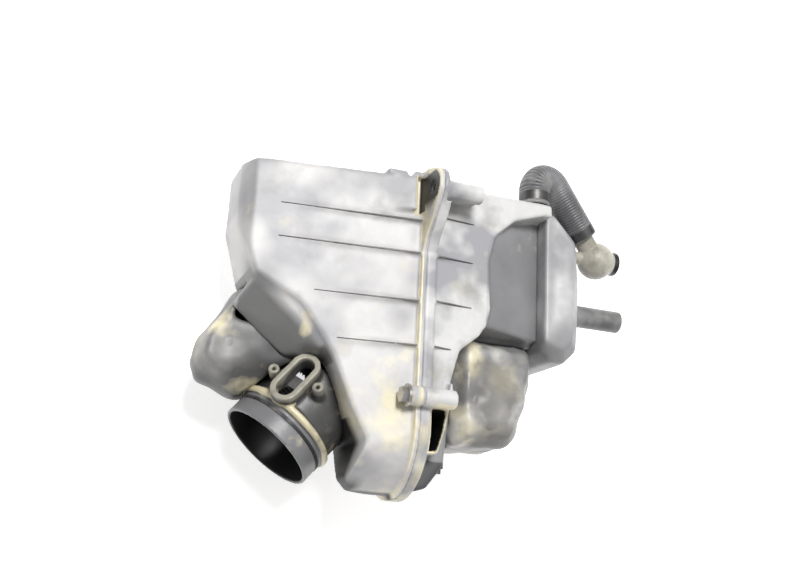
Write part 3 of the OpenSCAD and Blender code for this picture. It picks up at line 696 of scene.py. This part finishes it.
def hoseRoute(steps=24):
    # the middle line, straight, bent, straight, then tilted about Y
    look = hoseLook
    flat = [(0.0, look["leg"] * i / 4) for i in range(4)]
    for i in range(steps + 1):
        a = look["turn"] * i / steps
        flat.append((look["bend"] * (1 - math.cos(a)), look["leg"] + look["bend"] * math.sin(a)))
    endX, endY = flat[-1]
    for i in range(1, 9):
        along = look["run"] * i / 8
        flat.append((endX + along * math.sin(look["turn"]), endY + along * math.cos(look["turn"])))
    startX, startY, startZ = look["start"]
    return [Vector((startX + x * math.cos(look["fall"]), startY + y,
                    startZ - x * math.sin(look["fall"]))) * mm for x, y in flat]


route = hoseRoute()
hoseLength = sum((b - a).length for a, b in zip(route, route[1:]))
dropSelection()
routeData = bpy.data.curves.new("hoseRoute", "CURVE")
routeData.dimensions = "3D"
spline = routeData.splines.new("POLY")
spline.points.add(len(route) - 1)
for point, place in zip(spline.points, route):
    point.co = (*place, 1.0)
routeData.twist_mode = "MINIMUM"
routeCurve = bpy.data.objects.new("hoseRoute", routeData)
scene.collection.objects.link(routeCurve)

# one corrugation along X, repeated and bent along the route
innerRadius = hoseLook["radius"] - hoseLook["groove"]
bpy.ops.mesh.primitive_circle_add(vertices=40, radius=innerRadius * mm,
                                  rotation=(0, math.radians(90), 0))
hoseBody = bpy.context.object
hoseBody.name = "hoseBody"
bpy.ops.object.transform_apply(location=True, rotation=True, scale=True)
bpy.ops.object.mode_set(mode="EDIT")
bpy.ops.mesh.select_all(action="SELECT")
grow = hoseLook["radius"] / innerRadius
for share, size in ((0.2, 1.0), (0.15, grow), (0.3, 1.0), (0.15, 1 / grow), (0.2, 1.0)):
    bpy.ops.mesh.extrude_region_move(
        TRANSFORM_OT_translate={"value": (share * hoseLook["pitch"] * mm, 0, 0)})
    if size != 1.0:
        bpy.ops.transform.resize(value=(1, size, size))
bpy.ops.object.mode_set(mode="OBJECT")
ringCount = int(hoseLength / mm / hoseLook["pitch"])
applyModifier(hoseBody, "ARRAY", fit_type="FIXED_COUNT", count=ringCount,
              use_relative_offset=True, relative_offset_displace=(1, 0, 0),
              use_merge_vertices=True, merge_threshold=0.0001)
applyModifier(hoseBody, "CURVE", object=routeCurve, deform_axis="POS_X")
applyModifier(hoseBody, "SOLIDIFY", thickness=hoseLook["wall"] * mm, offset=-1.0)
bpy.data.objects.remove(routeCurve, do_unlink=True)
finish(hoseBody, "case", "hose_plastic", hosePlastic, "corrugated_hose")
print("hose bent, %.1f mm long" % (hoseLength / mm))


# ---- ribs on both faces

capRib = {
    "starts": ((-116, 85), (-116, 58), (-86, 19), (-66, -16)),
    "end": -4.0,
    "thick": 1.5,
    "rise": 3.6,
    "fall": capFall,
}
caseRib = {
    "rows": ((91, 42), (58, 42), (21, 42), (-15, 25)),
    "start": 9.0,
    "thick": 1.5,
    "rise": 3.4,
    "fall": math.tan(math.radians(2.5)),
}


def taperedRib(name, thinEnd, thickEnd, thick, rise, slope):
    # a fin that rises from nothing at thinEnd to full height at thickEnd
    dropSelection()
    (x0, y0), (x1, y1) = thinEnd, thickEnd
    bpy.ops.mesh.primitive_cube_add(size=1.0)
    rib = bpy.context.object
    rib.name = name
    for vertex in rib.data.vertices:
        atThick = vertex.co.x > 0
        x, y = (x1, y1) if atThick else (x0, y0)
        width = thick if atThick else thick * 0.35
        ground = faceTop - abs(x) * slope
        height = (rise if atThick else 0.9) if vertex.co.z > 0 else -1.2
        vertex.co = Vector((x, y + width * vertex.co.y, ground + height)) * mm
    applyModifier(rib, "BEVEL", width=0.25 * mm, segments=2)
    return rib


# the ribs are coloured dark as painted shade
for number, (x, y) in enumerate(capRib["starts"]):
    rib = taperedRib("capRib%d" % number, (x, y), (capRib["end"], y), capRib["thick"],
                     capRib["rise"], capRib["fall"])
    finish(rib, "cap", "cap_plastic", ribPaintedShade)
for number, (y, end) in enumerate(caseRib["rows"]):
    rib = taperedRib("caseRib%d" % number, (end, y), (caseRib["start"], y), caseRib["thick"],
                     caseRib["rise"], caseRib["fall"])
    finish(rib, "case", "case_plastic", ribPaintedShade)
print("ribs added")


# ---- finishes of the CAD nodes that stay

for node, material in {
    "inlet_duct": outletPlastic, "breather_nipple": hosePlastic, "hose_clips": bandSteel,
    "screw_inserts": insertBrass, "harness_clip": darkRubber, "mount_grommets": darkRubber,
    "mount_sleeves": zincMetal, "outlet_seal": darkRubber, "flow_straightener": framePlastic,
    "screw_bush": zincMetal, "filter_media": filterPaper, "filter_frame": framePlastic,
    "filter_seal": sealFoam, "screw_lower": zincMetal,
}.items():
    paint(node, material)


# ---- floor and light

dropSelection()
bpy.ops.mesh.primitive_plane_add(size=6.0, location=(0, 0, -0.001))
floor = bpy.context.object
floor.name = "floor"
floorMaterial, floorNodes, floorLinks, floorShader = newMaterial("paleFloor")
floorShader.inputs["Base Color"].default_value = (0.93, 0.93, 0.93, 1)
floorShader.inputs["Roughness"].default_value = 0.9
floorShader.inputs["Emission Color"].default_value = (1, 1, 1, 1)
floorShader.inputs["Emission Strength"].default_value = 0.6
floor.data.materials.append(floorMaterial)

world = bpy.data.worlds.new("studio")
scene.world = world
world.use_nodes = True
world.node_tree.nodes["Background"].inputs["Color"].default_value = (1.0, 1.0, 1.0, 1)
world.node_tree.nodes["Background"].inputs["Strength"].default_value = 0.36


def areaLight(name, place, target, size, power):
    data = bpy.data.lights.new(name, "AREA")
    data.energy = power
    data.shape = "DISK"
    data.size = size
    lamp = bpy.data.objects.new(name, data)
    scene.collection.objects.link(lamp)
    lamp.location = place
    aim = Vector(target) - Vector(place)
    lamp.rotation_euler = aim.to_track_quat("-Z", "Y").to_euler()


areaLight("keyLight", (-0.15, 0.6, 1.9), (0, 0, 0.1), 0.6, 35.0)
areaLight("fillLight", (0.9, 0.2, 1.2), (0, 0, 0.1), 1.2, 4.0)
scene.view_settings.view_transform = "Standard"
print("stage and lights set")
